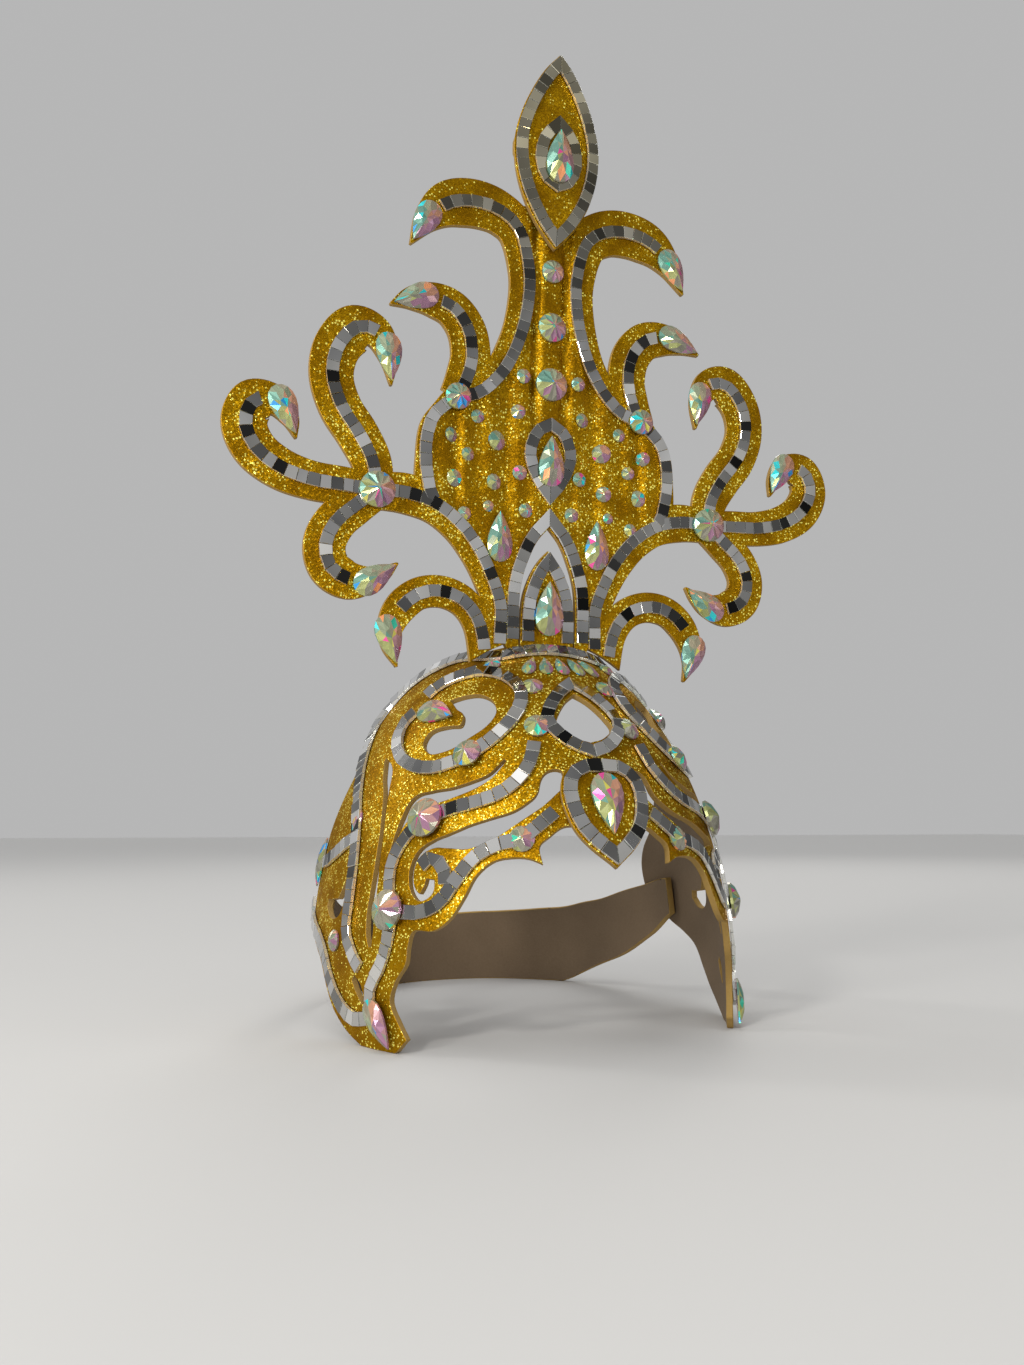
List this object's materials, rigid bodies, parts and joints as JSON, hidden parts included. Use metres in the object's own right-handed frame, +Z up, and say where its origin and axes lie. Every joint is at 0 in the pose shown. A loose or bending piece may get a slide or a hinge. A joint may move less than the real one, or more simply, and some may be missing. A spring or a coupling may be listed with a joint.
{
  "type": "carnival crown",
  "caption": "Carnival headpiece: a tall pierced crest of gold glitter foam with curled arms on an open cap that fits over the forehead, trimmed with mirror strips and cut crystals.",
  "frame": {"origin": "middle of the bounding box at the level that the crown rests on", "axes": "+Z up the crest, -Y towards the wearer's front, +X towards the wearer's left"},
  "size_m": [0.26, 0.2016, 0.3943],
  "materials": {
    "gold_foam": "gold glitter face on foam, tan cut edge",
    "plain_foam": "matt",
    "mirror_strip": "small square mirror tiles",
    "crystal": "foil-backed, with a rainbow coating"
  },
  "bodies": {
    "root": {"arch_mirrors": "mirror_strip", "arm_mirrors_left": "mirror_strip", "arm_mirrors_right": "mirror_strip", "back_band": "plain_foam", "band_joint_round_left": "crystal", "band_joint_round_right": "crystal", "band_mirrors_left": "mirror_strip", "band_mirrors_right": "mirror_strip", "band_round_left": "crystal", "band_round_right": "crystal", "base_drop": "gold_foam", "base_drop_pear": "crystal", "belly_round": "crystal", "brow_mirrors": "mirror_strip", "cap_shell": "gold_foam", "chest_round": "crystal", "crest_panel": "gold_foam", "drop_mirrors": "mirror_strip", "finial_leaf": "gold_foam", "finial_mirrors": "mirror_strip", "finial_pear": "crystal", "finial_ring": "mirror_strip", "forehead_drop": "gold_foam", "forehead_mirrors": "mirror_strip", "forehead_pear": "crystal", "joint_round_left": "crystal", "joint_round_right": "crystal", "lobe_pear_left": "crystal", "lobe_pear_right": "crystal", "low_arm_mirrors_left": "mirror_strip", "low_arm_mirrors_right": "mirror_strip", "low_pear_left": "crystal", "low_pear_right": "crystal", "lower_pear_left": "crystal", "lower_pear_right": "crystal", "neck_round": "crystal", "outer_pear_left": "crystal", "outer_pear_right": "crystal", "scroll_mirrors_left": "mirror_strip", "scroll_mirrors_right": "mirror_strip", "scroll_pear_left": "crystal", "scroll_pear_right": "crystal", "scroll_round_left": "crystal", "scroll_round_right": "crystal", "seam_mirrors": "mirror_strip", "second_pear_left": "crystal", "second_pear_right": "crystal", "shoulder_round_left": "crystal", "shoulder_round_right": "crystal", "side_navette_left": "crystal", "side_navette_right": "crystal", "swan_pear_left": "crystal", "swan_pear_right": "crystal", "upper_pear_left": "crystal", "upper_pear_right": "crystal", "vase_navette": "crystal", "vase_pear_left": "crystal", "vase_pear_right": "crystal", "vase_ring": "mirror_strip"}
  },
  "joints": []
}
